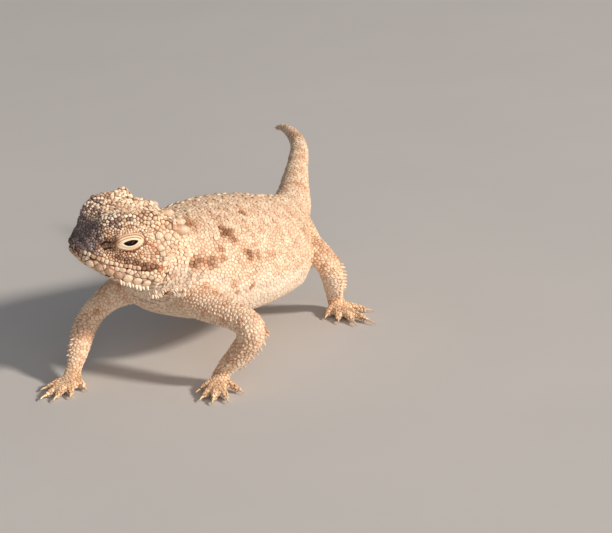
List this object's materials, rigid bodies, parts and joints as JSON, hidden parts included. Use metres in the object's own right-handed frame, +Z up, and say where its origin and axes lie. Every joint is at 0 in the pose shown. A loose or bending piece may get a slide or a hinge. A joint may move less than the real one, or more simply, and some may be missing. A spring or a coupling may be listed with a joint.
{
  "type": "horned lizard",
  "caption": "Still life-size horned lizard standing on spread legs with its head raised and turned, short blunt horns, scaly crown and a slender lifted tail.",
  "frame": {"origin": "on the floor under the middle of the animal's box", "axes": "+X to the animal's left, +Y towards its tail, +Z up"},
  "size_m": [0.0335, 0.0622, 0.0228],
  "materials": {
    "skin": "matt, scaly",
    "eye": "wet gloss",
    "horn": "matt, horny"
  },
  "bodies": {
    "root": {"head": "skin", "neck": "skin", "torso": "skin", "tail_base": "skin", "tail_middle": "skin", "tail_tip": "skin", "upper_arm_left": "skin", "forearm_left": "skin", "hand_left": "skin", "upper_arm_right": "skin", "forearm_right": "skin", "hand_right": "skin", "thigh_left": "skin", "shank_left": "skin", "foot_left": "skin", "thigh_right": "skin", "shank_right": "skin", "foot_right": "skin", "eye_left": "eye", "eye_right": "eye", "horn_occipital_left": "horn", "horn_occipital_right": "horn", "horn_temporal_left": "horn", "horn_temporal_right": "horn"}
  },
  "joints": []
}
